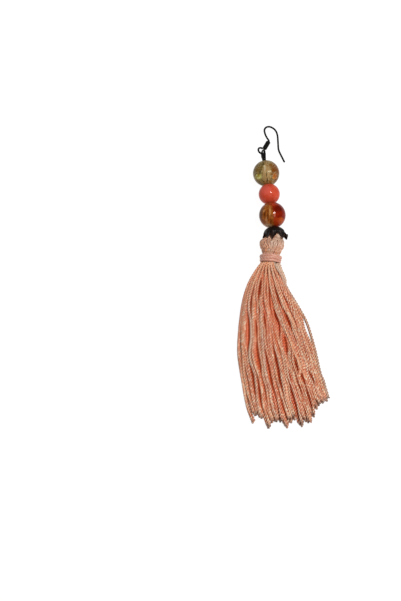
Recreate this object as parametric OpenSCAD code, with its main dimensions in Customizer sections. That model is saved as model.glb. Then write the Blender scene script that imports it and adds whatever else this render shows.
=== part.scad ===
// Tassel earring, lying on its back: a bent wire hook, three beads on a doubled wire,
// a petalled metal cap and a tassel of twisted cord with a wrapped neck.
// The beads run along Y with the hook at the +Y end, and everything rests on Z = 0.
// Millimetres.

/* [Beads] */
// Diameter of the yellow crackled bead next to the hook
yellow_d = 10; // [8:0.5:12]
// Diameter of the coral bead in the middle
coral_d = 8; // [6:0.5:10]
// Diameter of the amber crackled bead next to the cap
amber_d = 10; // [8:0.5:12]
// Play between the bead wire and the holes in the beads and the cap
hole_play = 0.3; // [0.1:0.05:0.5]
// Gap left between neighbours on the wire
string_gap = 0.08; // [0.05:0.01:0.2]

/* [Bead wire] */
// Thickness of the bead wire, which is folded double below its eye
eye_wire_d = 0.5; // [0.4:0.05:0.6]
// Width of the teardrop eye, outside
eye_w = 2.8; // [2.6:0.1:3.4]
// Length of the eye from the bead to the outside of its end
eye_len = 5.2; // [4.6:0.1:6.5]

/* [Hook] */
// Thickness of the hook's wire
hook_wire_d = 0.6; // [0.5:0.05:0.7]
// Diameter of the hook's ring, outside
ring_d = 3.2; // [3:0.05:3.6]
// Radius of the hook's bend, to the middle of the wire
bend_r = 2.75; // [2.4:0.05:3.2]
// Length of the straight free end that goes through the ear
free_len = 4.2; // [3:0.1:6]
// Length of the straight leg between the bend and the kick of the free end
leg_len = 4.5; // [3:0.1:6]
// Angle of the shank across the hook, from the way the legs run
shank_angle = 38; // [32:1:42]

/* [Coil] */
// Thickness of the coil's wire
coil_wire_d = 0.42; // [0.35:0.01:0.5]
// Number of turns in the coil
coil_turns = 11; // [7:1:13]

/* [Cap] */
// Diameter of the cap across its dome, outside
cap_d = 8.1; // [7.6:0.1:8.5]
// Length of the cap from its top to the tips of its petals
cap_len = 5.1; // [4.6:0.1:5.4]
// Angle that the cap droops towards the surface
cap_droop = 11; // [6:1:12]
// Angle that the cap swings sideways after the tassel
cap_swing = 5; // [0:1:8]
// Thickness of the cap's metal
cap_wall = 0.35; // [0.25:0.05:0.45]
// Number of petals round the cap
petals = 9; // [7:1:11]

/* [Tassel] */
// Width of the tassel's head at its bulge
head_w = 9.3; // [8.6:0.1:9.6]
// Length of the head, from the cap's top to the middle of the wrap
head_len = 12.4; // [12:0.1:14]
// Diameter of the neck inside the wrap
neck_d = 6.4; // [6:0.1:6.8]
// Distance that the neck leans sideways from the line of the beads
neck_lean = 2.9; // [2:0.1:4]
// Angle that the neck slopes down to the surface
neck_pitch = 16; // [8:1:20]
// Thickness of the wrap's cord
wrap_cord_d = 1.1; // [0.8:0.05:1.2]
// Number of turns in the wrap
wrap_turns = 3; // [2:1:4]
// Length of the fringe from the wrap to its longest end
fringe_len = 66.5; // [50:0.5:90]
// Width of the fringe where it lies spread on the surface
fringe_w = 30; // [24:1:40]
// Height of the fringe where it lies spread on the surface
fringe_h = 4.4; // [3.5:0.1:6]
// Gap between the tassel and the wrap or cap round it
soft_gap = 0.08; // [0.05:0.01:0.12]

/* [Hidden] */
gunmetal = [0.16, 0.15, 0.15];
olive_glass = [0.72, 0.60, 0.30];
coral_stone = [0.90, 0.38, 0.28];
amber_glass = [0.70, 0.25, 0.08];
peach_cord = [0.95, 0.68, 0.55];

// Places along the line of the beads, before the whole is centred

axis_z = max(yellow_d, coral_d, amber_d) / 2;
yellow_y = 0;
coral_y = yellow_y - (yellow_d + coral_d) / 2 - string_gap;
amber_y = coral_y - (coral_d + amber_d) / 2 - string_gap;
cap_y = amber_y - (amber_d / 2 + string_gap) / cos(cap_droop);
wrap_pitch = wrap_cord_d * 0.85;
wrap_half = (wrap_pitch * (wrap_turns - 1) + wrap_cord_d) / 2;
// The wrap's cords are pressed against the neck, so that this share of each is left
wrap_pressed = 0.62;
wrap_r = neck_d / 2 + soft_gap + wrap_cord_d * wrap_pressed;
neck_x = -neck_lean;
neck_y = cap_y - head_len;
neck_z = (wrap_r - wrap_cord_d / 2) * cos(neck_pitch) + wrap_cord_d / 2
    + wrap_pitch * (wrap_turns - 1) / 2 * sin(neck_pitch);
neck_yaw = atan2(neck_lean, head_len);
fringe_run = wrap_half + 2 * soft_gap;
fringe_x = neck_x - fringe_run * cos(neck_pitch) * sin(neck_yaw);
fringe_y = neck_y - fringe_run * cos(neck_pitch) * cos(neck_yaw);
fringe_z = neck_z - fringe_run * sin(neck_pitch);

// Bead wire: the pin ends inside the tassel's head
shaft_d = 2 * eye_wire_d;
hole_d = shaft_d + hole_play;
eye_r = (eye_w - eye_wire_d) / 2;
eye_end_y = yellow_y + yellow_d / 2 + eye_len - eye_wire_d / 2;
eye_y = eye_end_y - eye_r;
eye_root_y = yellow_y + yellow_d / 2 - eye_wire_d;
eye_reach = eye_y - eye_root_y;
eye_taper = asin(eye_r / eye_reach);
shaft_end_y = cap_y - cap_len * 0.8;

// The hook is drawn flat in its own plane, from the middle of its ring, with the legs along Y.
// A move is a straight run or an arc: a turn is in degrees and positive to the left.

RUN = 0;
TURN = 1;
RADIUS = 2;
ring_r = (ring_d - hook_wire_d) / 2;
ring_gap = 0.12;
// Where the ring opens into the shank, the wire jogs so that the ring sits nearer its line
jog_r = hook_wire_d;
jog_turn = 50;
jog_span = ring_r + jog_r;
ring_open = acos((pow(jog_span, 2) + pow(ring_r, 2) - pow(jog_r + hook_wire_d + ring_gap, 2))
    / (2 * ring_r * jog_span));
shank_side = ring_r * cos(jog_turn) - jog_r * (1 - cos(jog_turn));
coil_pitch = coil_wire_d * 0.98;
coil_len = coil_pitch * coil_turns;
coil_start = ring_d / 2 + ring_gap;
shank_len = coil_start + coil_len + ring_gap - jog_span * sin(jog_turn);
neck_turn = 30;
sweep_r = 2.4 * bend_r;
sweep_turn = 32;
over_turn = 172;
ease_r = 2.8 * bend_r;
ease_turn = 17;
kick_r = 2.1 * bend_r;
kick_turn = 26;
hook_moves = [
    [0, 360 - ring_open, ring_r],
    [0, -jog_turn, jog_r],
    [shank_len, 0, 0],
    [0, neck_turn + shank_angle, hook_wire_d],
    [0, -sweep_turn, sweep_r],
    [0, -over_turn, bend_r],
    [0, -ease_turn, ease_r],
    [leg_len, 0, 0],
    [0, kick_turn, kick_r],
    [free_len, 0, 0],
];
BEND_MOVE = 5;
shank_head = 90 - shank_angle;
ring_head = shank_head + jog_turn + ring_open;
hook_start = [ring_r * sin(ring_head), -ring_r * cos(ring_head), ring_head];

// Place and heading after one move, and after the first n moves
function side(move) = move[TURN] < 0 ? -1 : 1;
function arc_centre(pose, move) = [
    pose[0] - side(move) * move[RADIUS] * sin(pose[2]),
    pose[1] + side(move) * move[RADIUS] * cos(pose[2]),
];
function after(pose, move) = move[TURN] == 0
    ? [pose[0] + move[RUN] * cos(pose[2]), pose[1] + move[RUN] * sin(pose[2]), pose[2]]
    : let (c = arc_centre(pose, move), a = pose[2] + move[TURN])
      [c[0] + side(move) * move[RADIUS] * sin(a), c[1] - side(move) * move[RADIUS] * cos(a), a];
function pose_at(n) = n == 0 ? hook_start : after(pose_at(n - 1), hook_moves[n - 1]);

// The hook rests on its free end and on the outside of its bend, which fixes the line it
// turns about, and its ring is held up by the eye, which fixes how far it turns
tip = pose_at(len(hook_moves));
bend_centre = arc_centre(pose_at(BEND_MOVE), hook_moves[BEND_MOVE]);
bend_from_tip = [bend_centre[0] - tip[0], bend_centre[1] - tip[1]];
rest_line = atan2(bend_from_tip[1], bend_from_tip[0]) - asin(bend_r / norm(bend_from_tip));
rest_turn = 90 - rest_line;
rest_x = tip[0] * cos(rest_turn) - tip[1] * sin(rest_turn);
ring_drop = 0.4;
ring_z = axis_z - ring_drop;
hook_roll = asin((ring_z - hook_wire_d / 2) / rest_x);
hook_lean = 5.5;
ring_x = -0.4 * ring_r;
ring_y = eye_end_y + 0.2 * ring_r;

// The highest point of the hook along Y, on the outside of its bend
bend_x = bend_centre[0] * cos(rest_turn) - bend_centre[1] * sin(rest_turn);
bend_y = bend_centre[0] * sin(rest_turn) + bend_centre[1] * cos(rest_turn);
flat_share = cos(hook_roll) * sin(hook_lean);
hook_top_y = ring_y + bend_x * flat_share + bend_y * cos(hook_lean)
    + bend_r * sqrt(pow(flat_share, 2) + pow(cos(hook_lean), 2)) + hook_wire_d / 2;

// Cap: a row is a station from the hole in its top to the tips of its petals

CAP_ALONG = 0;
CAP_RADIUS = 1;
cap_profile = [
    // share of cap_len, share of cap_d / 2
    [0.00, 0.28],
    [0.02, 0.46],
    [0.12, 0.74],
    [0.28, 0.93],
    [0.46, 1.00],
    [0.64, 1.00],
    [0.82, 1.02],
    [1.00, 1.07],
];
// The petals, evenly spaced from first_petal round by +Z, and how each one has been bent
PETAL_TWIST = 0;
PETAL_REACH = 1;
PETAL_FLARE = 2;
petal_bends = [
    // turn of the tip in degrees, share of cap_len, bend outward as a share of cap_d / 2
    [0, 0.86, 0.22],
    [-16, 1.02, 0.00],
    [3, 1.07, 0.04],
    [-14, 0.98, 0.08],
    [-4, 0.85, 0.04],
    [0, 0.84, 0.00],
    [0, 0.82, -0.06],
    [0, 0.84, 0.00],
    [10, 0.83, 0.00],
];
first_petal = 20;
// Shares of cap_len at which the flat top has become the wall, and the petals begin to part
cap_shoulder = 0.28;
petal_root = 0.46;
// Depth of the notches between the petals, and how pointed the petals are
petal_notch = 0.72;
petal_point = 1.4;
cap_steps = 6;

// Tassel: the head's stations from the cap to the wrap

HEAD_ALONG = 0;
HEAD_SHIFT = 1;
HEAD_SINK = 2;
HEAD_WIDE = 3;
HEAD_HIGH = 4;
HEAD_TILT = 5;
head_rows = [
    // share of head_len, shares of the lean and of the fall, shares of head_w wide and high, tilt
    [0.10, 0.04, 0.26, 0.50, 0.50, 11],
    [0.22, 0.08, 0.57, 0.69, 0.69, 11],
    [0.31, 0.12, 0.80, 0.74, 0.74, 11],
    [0.385, 0.50, 1.05, 0.89, 0.72, 8],
    [0.48, 0.57, 1.00, 1.00, 0.78, 6],
    [0.58, 0.57, 0.93, 0.985, 0.86, 6],
    [0.67, 0.51, 0.93, 0.88, 0.82, 8],
    [0.75, 0.64, 0.95, 0.79, 0.77, 11],
];

head_sides = 28;
// How much the neck swells beyond the wrap
swell = 1.15;

// One ring of the head, and one round the neck at a distance along it from the wrap's middle
function head_ring(row) = let (
    w = row[HEAD_WIDE] * head_w / 2,
    h = row[HEAD_HIGH] * head_w / 2,
    tilt = row[HEAD_TILT]
) [for (k = [0:head_sides - 1]) let (a = 360 * k / head_sides) [
    neck_x * row[HEAD_SHIFT] + w * cos(a),
    cap_y - head_len * row[HEAD_ALONG] - h * sin(a) * sin(tilt),
    axis_z + (neck_z - axis_z) * row[HEAD_SINK] + h * sin(a) * cos(tilt),
]];
function neck_ring(along, size) = [for (k = [0:head_sides - 1]) let (
    a = 360 * k / head_sides,
    out = size / 2 * cos(a),
    back = along * cos(neck_pitch) + size / 2 * sin(a) * sin(neck_pitch)
) [
    neck_x + out * cos(neck_yaw) - back * sin(neck_yaw),
    neck_y - out * sin(neck_yaw) - back * cos(neck_yaw),
    neck_z - along * sin(neck_pitch) + size / 2 * sin(a) * cos(neck_pitch),
]];

// The fringe's stations from the wrap to its ends: its edges, and how it settles from the
// round neck to the flat spread

FR_ALONG = 0;
FR_LEFT = 1;
FR_RIGHT = 2;
FR_HIGH = 3;
FR_SETTLED = 4;
fringe_rows = [
    // share of fringe_len, shares of the spread on each side, share of the fall in height, settled
    [0.00, 0.00, 0.00, 0.00, 0.00],
    [0.06, 0.38, 0.07, 0.15, 0.35],
    [0.14, 0.65, 0.12, 0.45, 0.75],
    [0.25, 0.85, 0.41, 0.75, 1.00],
    [0.38, 0.99, 0.66, 0.95, 1.00],
    [0.53, 1.09, 0.77, 1.00, 1.00],
    [0.69, 1.06, 0.83, 1.05, 1.00],
    [0.85, 1.07, 0.96, 1.15, 1.00],
    [1.00, 0.96, 1.02, 1.30, 1.00],
];

// The fringe's locks: place across it from -1 to 1, reach, and layer (0 lies on the surface)

LOCK_ACROSS = 0;
LOCK_REACH = 1;
LOCK_LAYER = 2;
locks = [
    // place across, share of fringe_len, layer
    [-1.00, 0.940, 0], [-0.83, 0.895, 0], [-0.67, 0.960, 0], [-0.50, 0.965, 0],
    [-0.33, 0.960, 0], [-0.17, 0.985, 0], [0.00, 0.950, 0], [0.17, 0.985, 0],
    [0.33, 0.990, 0], [0.50, 0.955, 0], [0.67, 0.900, 0], [0.83, 0.880, 0], [1.00, 0.830, 0],
    [-0.92, 0.920, 1], [-0.75, 0.930, 1], [-0.58, 0.985, 1], [-0.42, 0.952, 1],
    [-0.25, 0.970, 1], [-0.08, 0.965, 1], [0.08, 0.960, 1], [0.25, 1.000, 1],
    [0.42, 0.970, 1], [0.58, 0.915, 1], [0.75, 0.890, 1], [0.92, 0.860, 1],
];
locks_across = 13;
lock_overlap = 1.5;
// Share of the fringe's height that each of the two layers takes
lock_part = 0.62;
lock_stations = 9;
lock_sides = 8;

// A smooth curve through the rows of a table, read in one column
function slope(rows, col, i) = let (
    a = rows[max(i - 1, 0)],
    b = rows[min(i + 1, len(rows) - 1)]
) (b[col] - a[col]) / (b[0] - a[0]);
function row_before(rows, at, i = 0) =
    i >= len(rows) - 2 || at <= rows[i + 1][0] ? i : row_before(rows, at, i + 1);
function curve(rows, col, at) = let (
    i = row_before(rows, at),
    span = rows[i + 1][0] - rows[i][0],
    t = (at - rows[i][0]) / span,
    t2 = t * t,
    t3 = t2 * t
) (2 * t3 - 3 * t2 + 1) * rows[i][col] + (3 * t2 - 2 * t3) * rows[i + 1][col]
    + span * ((t3 - 2 * t2 + t) * slope(rows, col, i) + (t3 - t2) * slope(rows, col, i + 1));

// Edges and height of the fringe at a share of its length
spread = (fringe_w - neck_d) / 2;
inner_r = neck_d / 2 - soft_gap;
inner_h = inner_r * cos(neck_pitch);
function left_x(at) = fringe_x - inner_r - spread * curve(fringe_rows, FR_LEFT, at);
function right_x(at) = fringe_x + inner_r + spread * curve(fringe_rows, FR_RIGHT, at);
// The ends at the neck stand square to it, and farther on they stand square to Y
square_by = 0.3;
function fringe_point(at, x, z) = [
    x,
    fringe_y - fringe_len * at
        - ((x - fringe_x) * tan(neck_yaw) + (z - fringe_z) * tan(neck_pitch)) * max(0, 1 - at / square_by),
    z,
];
function bundle_h(at) = neck_d - (neck_d - fringe_h) * curve(fringe_rows, FR_HIGH, at);
function settled(at) = min(1, curve(fringe_rows, FR_SETTLED, at));
// Height across the fringe, as a flattened round that is a little blunt at its edges
crown_power = 2.4;
crown_blunt = 0.93;
edge_high = 0.5;
function crown(across) = pow(1 - pow(abs(across) * crown_blunt, crown_power), 1 / crown_power);
function under_z(at, across) = (1 - settled(at)) * (fringe_z - inner_h * crown(across));
function over_z(at, across) = (1 - settled(at)) * (fringe_z + inner_h * crown(across))
    + settled(at) * max(bundle_h(at) * crown(across), fringe_h * edge_high);

// Half width, centre and half height of one lock at a share of the fringe's length
function lock_half_w(at) = lock_overlap * (right_x(at) - left_x(at)) / locks_across / 2;
function lock_x(lock, at) = let (
    half = lock_half_w(at),
    mid = (left_x(at) + right_x(at)) / 2
) mid + lock[LOCK_ACROSS] * ((right_x(at) - left_x(at)) / 2 - half);
function lock_span(lock, at) = let (
    low = under_z(at, lock[LOCK_ACROSS]),
    high = over_z(at, lock[LOCK_ACROSS]),
    part = (high - low) * lock_part
) lock[LOCK_LAYER] == 0 ? [low, low + part] : [high - part, high];
function lock_ring(lock, at, size) = let (
    zs = lock_span(lock, at),
    half_h = (zs[1] - zs[0]) / 2,
    mid_z = lock[LOCK_LAYER] == 0 ? zs[0] + half_h * size : zs[1] - half_h * (2 - size)
) [for (k = [0:lock_sides - 1]) let (a = 360 * k / lock_sides)
    fringe_point(at, lock_x(lock, at) + lock_half_w(at) * size * cos(a), mid_z + half_h * size * sin(a))];

// The core that the locks are fused to, well inside them and shorter than the shortest
core_share = 0.9;
core_reach = core_share * min([for (lock = locks) lock[LOCK_REACH]]);
CORE_ACROSS = 0;
CORE_RISE = 1;
core_rows = [
    // place across the fringe, share of the height there
    [0.9, 0.50], [0.6, 0.80], [0.2, 0.80], [-0.2, 0.80], [-0.6, 0.80], [-0.9, 0.50],
    [-0.9, 0.30], [-0.6, 0.20], [-0.2, 0.20], [0.2, 0.20], [0.6, 0.20], [0.9, 0.30],
];
function core_ring(at) = [for (row = core_rows) let (
    low = under_z(at, row[CORE_ACROSS]),
    high = over_z(at, row[CORE_ACROSS])
) fringe_point(at, lock_x(row, at), low + (high - low) * row[CORE_RISE])];

// A lock's stations, each with its size: the last two round off the end
STEP_AT = 0;
STEP_SIZE = 1;
function lock_steps(lock) = concat(
    [for (k = [0:lock_stations - 1]) [lock[LOCK_REACH] * k / lock_stations, 1]],
    [[lock[LOCK_REACH] * 0.985, 0.9], [lock[LOCK_REACH], 0.55]]
);
function lock_edge(lock, step, dir) =
    lock_x(lock, step[STEP_AT]) + dir * lock_half_w(step[STEP_AT]) * step[STEP_SIZE];

// The whole is centred on the surface under it
x_low = min([for (lock = locks, step = lock_steps(lock)) lock_edge(lock, step, -1)]);
x_high = max([for (lock = locks, step = lock_steps(lock)) lock_edge(lock, step, 1)]);
y_low = fringe_y - fringe_len * max([for (lock = locks) lock[LOCK_REACH]]);
centre = [(x_low + x_high) / 2, (y_low + hook_top_y) / 2, 0];

// A closed surface through rings that all have the same number of points
module skin(rings) {
    n = len(rings[0]);
    last = len(rings) - 1;
    sides = [for (i = [0:last - 1], k = [0:n - 1]) let (m = (k + 1) % n)
        [i * n + k, (i + 1) * n + k, (i + 1) * n + m, i * n + m]];
    ends = [[for (k = [0:n - 1]) k], [for (k = [n - 1:-1:0]) last * n + k]];
    polyhedron([for (ring = rings) each ring], concat(sides, ends));
}

// A short core across the place where two stretches of wire meet, which makes them one solid
module wire_joint(wire_d) {
    rotate([0, 90, 0]) cylinder(h = wire_d * 0.6, d = wire_d * 0.6, center = true, $fn = 16);
}

// A bent wire: each move starts where the last one ended
module bent_wire(moves, wire_d, i = 0) {
    if (i < len(moves)) {
        move = moves[i];
        if (i > 0) wire_joint(wire_d);
        if (move[TURN] == 0) {
            rotate([0, 90, 0]) cylinder(h = move[RUN], d = wire_d, $fn = 32);
            translate([move[RUN], 0, 0]) bent_wire(moves, wire_d, i + 1);
        } else {
            s = side(move);
            translate([0, s * move[RADIUS], 0]) {
                rotate([0, 0, s > 0 ? -90 : 90 + move[TURN]])
                    rotate_extrude(angle = abs(move[TURN]), $fn = 96)
                        translate([move[RADIUS], 0]) circle(d = wire_d, $fn = 32);
                rotate([0, 0, move[TURN]]) translate([0, -s * move[RADIUS], 0])
                    bent_wire(moves, wire_d, i + 1);
            }
        }
    }
}

// From the hook's own plane to where it lies
module lay_hook() {
    translate([ring_x, ring_y, ring_z]) rotate([0, 0, hook_lean]) rotate([0, hook_roll, 0])
        rotate([0, 0, rest_turn]) children();
}

module ear_hook() {
    color(gunmetal) lay_hook()
        translate([hook_start[0], hook_start[1], 0]) rotate([0, 0, hook_start[2]])
            bent_wire(hook_moves, hook_wire_d);
}

// The turns lie side by side and are drawn as rings that run into each other
module hook_coil() {
    bore_r = hook_wire_d / 2 + 0.04;
    color(gunmetal) lay_hook()
        rotate([0, 0, shank_head]) translate([coil_start, -shank_side, 0]) rotate([0, 90, 0])
            rotate_extrude($fn = 64) difference() {
                for (k = [0:coil_turns - 1])
                    translate([bore_r + coil_wire_d / 2, coil_pitch * (k + 0.5)])
                        circle(d = coil_wire_d, $fn = 24);
                square([bore_r, coil_len]);
            }
}

// The eye's two legs meet at the mouth of the first bead and go on through it as one pin
module bead_wire() {
    leg = sqrt(pow(eye_reach, 2) - pow(eye_r, 2));
    eye_moves = [[leg, 0, 0], [0, 180 + 2 * eye_taper, eye_r], [leg, 0, 0]];
    color(gunmetal) translate([0, 0, axis_z]) {
        rotate([0, hook_roll - 90, 0]) translate([0, eye_root_y, 0])
            rotate([0, 0, 90 - eye_taper]) bent_wire(eye_moves, eye_wire_d);
        translate([0, shaft_end_y, 0]) rotate([-90, 0, 0])
            cylinder(h = yellow_y + yellow_d / 2 + eye_wire_d / 4 - shaft_end_y, d = shaft_d, $fn = 32);
    }
}

module bead(size, at_y) {
    translate([0, at_y, axis_z]) difference() {
        sphere(d = size, $fn = 64);
        rotate([90, 0, 0]) cylinder(h = size + 1, d = hole_d, center = true, $fn = 32);
    }
}

module bead_yellow() {
    color(olive_glass) bead(yellow_d, yellow_y);
}

module bead_coral() {
    color(coral_stone) bead(coral_d, coral_y);
}

module bead_amber() {
    color(amber_glass) bead(amber_d, amber_y);
}

// From the cap's own frame, with its top at the origin, to where it hangs
module hang_cap() {
    translate([0, cap_y, axis_z]) rotate([cap_droop, 0, -cap_swing]) children();
}

// A thin dome that parts into pointed petals, each bent in its own way
module bead_cap() {
    around = petals * cap_steps;
    last = len(cap_profile) - 1;
    function bend(k, col) = let (i = floor(k / cap_steps), t = k / cap_steps - i, n = len(petal_bends))
        petal_bends[i % n][col] * (1 - t) + petal_bends[(i + 1) % petals % n][col] * t;
    function fold(k) = abs((k % cap_steps) / (cap_steps / 2) - 1);
    function reach(k, along) = along <= petal_root ? along : petal_root
        + (along - petal_root) * (1 - petal_notch * pow(1 - fold(k), petal_point))
        * (bend(k, PETAL_REACH) - petal_root) / (1 - petal_root);
    function wall_point(k, row, inset) = let (
        along = row[CAP_ALONG],
        past = max(0, (along - petal_root) / (1 - petal_root)),
        flat = max(0, 1 - along / cap_shoulder),
        r = (row[CAP_RADIUS] + bend(k, PETAL_FLARE) * past * past) * cap_d / 2 - inset * (1 - flat),
        a = first_petal + 360 * k / around + bend(k, PETAL_TWIST) * past
    ) [r * cos(a), -reach(k, along) * cap_len - inset * flat, r * sin(a)];
    function wall_ring(row, inset) = [for (k = [0:around - 1]) wall_point(k, row, inset)];
    outer = [for (row = cap_profile) wall_ring(row, 0)];
    inner = [for (i = [last:-1:0]) wall_ring(cap_profile[i], cap_wall)];
    rings = concat(outer, inner);
    n = around;
    count = len(rings);
    color(gunmetal) hang_cap()
        polyhedron(
            [for (ring = rings) each ring],
            [for (i = [0:count - 1], k = [0:n - 1]) let (m = (k + 1) % n, j = (i + 1) % count)
                [i * n + k, j * n + k, j * n + m, i * n + m]]
        );
}

// From the neck's own frame to where it lies
module lay_neck() {
    translate([neck_x, neck_y, neck_z]) rotate([0, 0, -neck_yaw]) rotate([neck_pitch, 0, 0])
        children();
}

// The head runs on through the wrap into the fringe, whose locks end in rounded tips
module tassel() {
    color(peach_cord) difference() {
        union() {
            skin(concat(
                [for (row = head_rows) head_ring(row)],
                [neck_ring(-wrap_half - wrap_cord_d, neck_d * swell)],
                [neck_ring(-wrap_half - soft_gap, neck_d)],
                [neck_ring(wrap_half, neck_d)],
                [neck_ring(fringe_run + wrap_cord_d, neck_d / swell)]
            ));
            skin([for (k = [0:lock_stations]) core_ring(core_reach * k / lock_stations)]);
            for (lock = locks) {
                rings = [for (step = lock_steps(lock)) lock_ring(lock, step[STEP_AT], step[STEP_SIZE])];
                skin([for (k = [0:lock_stations - 1]) rings[k]]);
                hull() skin([for (k = [lock_stations - 1:len(rings) - 1]) rings[k]]);
            }
        }
        translate([0, shaft_end_y - 0.3, axis_z]) rotate([-90, 0, 0])
            cylinder(h = cap_len, d = hole_d, $fn = 16);
    }
}

module neck_wrap() {
    bore_r = neck_d / 2 + soft_gap;
    color(peach_cord) lay_neck() rotate([90, 0, 0])
        rotate_extrude($fn = 64) difference() {
            for (k = [0:wrap_turns - 1])
                translate([wrap_r - wrap_cord_d / 2, wrap_pitch * (k - (wrap_turns - 1) / 2)])
                    circle(d = wrap_cord_d, $fn = 32);
            translate([0, -2 * wrap_half]) square([bore_r, 4 * wrap_half]);
        }
}

module place() {
    translate(-centre) children();
}

place() ear_hook();
place() hook_coil();
place() bead_wire();
place() bead_yellow();
place() bead_coral();
place() bead_amber();
place() bead_cap();
place() tassel();
place() neck_wrap();
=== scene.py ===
import bpy
import numpy as np
from mathutils import Matrix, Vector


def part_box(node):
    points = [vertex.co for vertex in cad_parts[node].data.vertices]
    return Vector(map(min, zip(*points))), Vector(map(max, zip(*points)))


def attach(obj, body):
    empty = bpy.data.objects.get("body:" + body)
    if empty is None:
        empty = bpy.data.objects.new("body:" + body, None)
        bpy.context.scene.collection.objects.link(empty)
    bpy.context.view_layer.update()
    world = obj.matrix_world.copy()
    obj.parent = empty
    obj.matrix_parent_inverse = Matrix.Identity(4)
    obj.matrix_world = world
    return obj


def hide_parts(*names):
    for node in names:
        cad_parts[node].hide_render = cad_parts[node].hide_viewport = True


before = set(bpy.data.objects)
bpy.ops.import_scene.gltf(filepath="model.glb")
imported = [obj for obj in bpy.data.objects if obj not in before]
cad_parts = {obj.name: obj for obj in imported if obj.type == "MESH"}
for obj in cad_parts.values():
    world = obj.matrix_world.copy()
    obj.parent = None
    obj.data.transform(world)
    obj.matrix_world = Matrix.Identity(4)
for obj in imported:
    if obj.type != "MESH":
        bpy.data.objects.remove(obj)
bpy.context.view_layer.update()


# Surface, light and camera.
# The earring lies on a plain pale table in soft light from the upper right, and is seen from well above.
# Places are in millimetres from the middle of the yellow bead, with Y up the line of the beads.

low_corner, high_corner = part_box("bead_yellow")
line_start = (np.array(low_corner) + np.array(high_corner)) / 2 * [1, 1, 0]


def laid(places):
    """Metres in the shared frame: a thousandth of each place, moved to the start of the line of beads."""
    return np.asarray(places) / 1000 + line_start


class Value:
    """One output of a node. A sum of values is written as in Python, and each sign adds a Math node."""

    def __init__(self, finish, socket):
        self.finish = finish
        self.socket = socket

    def maths(self, operation, first, second):
        return self.finish.node("ShaderNodeMath", {"operation": operation}, {0: first, 1: second})

    def __add__(self, other):
        return self.maths("ADD", self, other)

    def __radd__(self, other):
        return self.maths("ADD", other, self)

    def __sub__(self, other):
        return self.maths("SUBTRACT", self, other)

    def __rsub__(self, other):
        return self.maths("SUBTRACT", other, self)

    def __mul__(self, other):
        return self.maths("MULTIPLY", self, other)

    def __rmul__(self, other):
        return self.maths("MULTIPLY", other, self)


class Finish:
    """A material. node() adds any node to it, and surface() sets or links the sockets of its shader."""

    def __init__(self, name):
        self.material = bpy.data.materials.new(name)
        self.material.use_nodes = True
        self.tree = self.material.node_tree
        self.shader = self.tree.nodes["Principled BSDF"]

    def fill(self, sockets, values):
        """Links a value that varies to its socket, and sets any other."""
        for name, value in values.items():
            if isinstance(value, Value):
                self.tree.links.new(value.socket, sockets[name])
            else:
                sockets[name].default_value = value

    def node(self, kind, settings, values, output=0):
        """One node of that kind: its settings first, a ramp's stops among them, then its sockets."""
        made = self.tree.nodes.new(kind)
        for name, setting in settings.items():
            if name == "stops":
                for _ in setting[2:]:
                    made.color_ramp.elements.new(0.5)
                for stop, (place, colour) in zip(made.color_ramp.elements, setting):
                    stop.position = place
                    stop.color = colour
            else:
                setattr(made, name, setting)
        self.fill(made.inputs, values)
        return Value(self, made.outputs[output])

    def surface(self, **values):
        self.fill(self.shader.inputs, {name.replace("_", " "): value for name, value in values.items()})

    def places(self):
        return self.node("ShaderNodeTexCoord", {}, {}, "Object")

    def mark(self, name):
        """The numbers that a mesh has at its points under that name."""
        return self.node("ShaderNodeAttribute", {"attribute_name": name}, {}, "Fac")

    def noise(self, size, detail=2.0, places=None, stretch=(1, 1, 1)):
        """Cloudy values from 0 to 1, in clouds of about that many millimetres, stretched along each axis."""
        spread = self.node("ShaderNodeVectorMath", {"operation": "MULTIPLY"},
                           {0: places or self.places(), 1: [1000 / (size * s) for s in stretch]})
        return self.node("ShaderNodeTexNoise", {}, {"Vector": spread, "Scale": 1.0, "Detail": detail})

    def mix(self, share, first, second, blend="MIX"):
        """A colour between two others: all of the first at 0, and all of the second at 1."""
        return self.node("ShaderNodeMix", {"data_type": "RGBA", "blend_type": blend},
                         {0: share, 6: first, 7: second}, 2)

    def ramp(self, value, *stops):
        """Colours along a value, each stop with its place."""
        return self.node("ShaderNodeValToRGB", {"stops": stops}, {"Fac": value})

    def rise(self, value, start, end):
        """0 where the value is below the start, 1 above the end, and an even rise between them."""
        return self.node("ShaderNodeMapRange", {},
                         {"Value": value, "From Min": start, "From Max": end})

    def bump(self, height, depth, strength=1.0):
        """Normals of a relief that is that many millimetres deep."""
        return self.node("ShaderNodeBump", {},
                         {"Height": height, "Distance": depth / 1000, "Strength": strength})


def shade(red, green, blue):
    """A colour as it is seen on a screen, from 0 to 255, as the light that it gives back."""
    seen = np.array([red, green, blue]) / 255
    light = np.where(seen > 0.04045, ((seen + 0.055) / 1.055) ** 2.4, seen / 12.92)
    return (*light.tolist(), 1.0)


paper = Finish("white_table")
paper.surface(Base_Color=shade(90, 90, 90), Roughness=0.95, Specular_IOR_Level=0.0,
              Emission_Color=shade(255, 255, 255), Emission_Strength=0.97)
TABLE_HALF = 1500
table_mesh = bpy.data.meshes.new("white_table")
table_corners = laid([[x * TABLE_HALF, y * TABLE_HALF, 0] for x, y in ((-1, -1), (1, -1), (1, 1), (-1, 1))])
table_mesh.from_pydata(table_corners.tolist(), [], [(0, 1, 2, 3)])
table_mesh.materials.append(paper.material)
table = bpy.data.objects.new("white_table", table_mesh)
bpy.context.scene.collection.objects.link(table)

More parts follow.
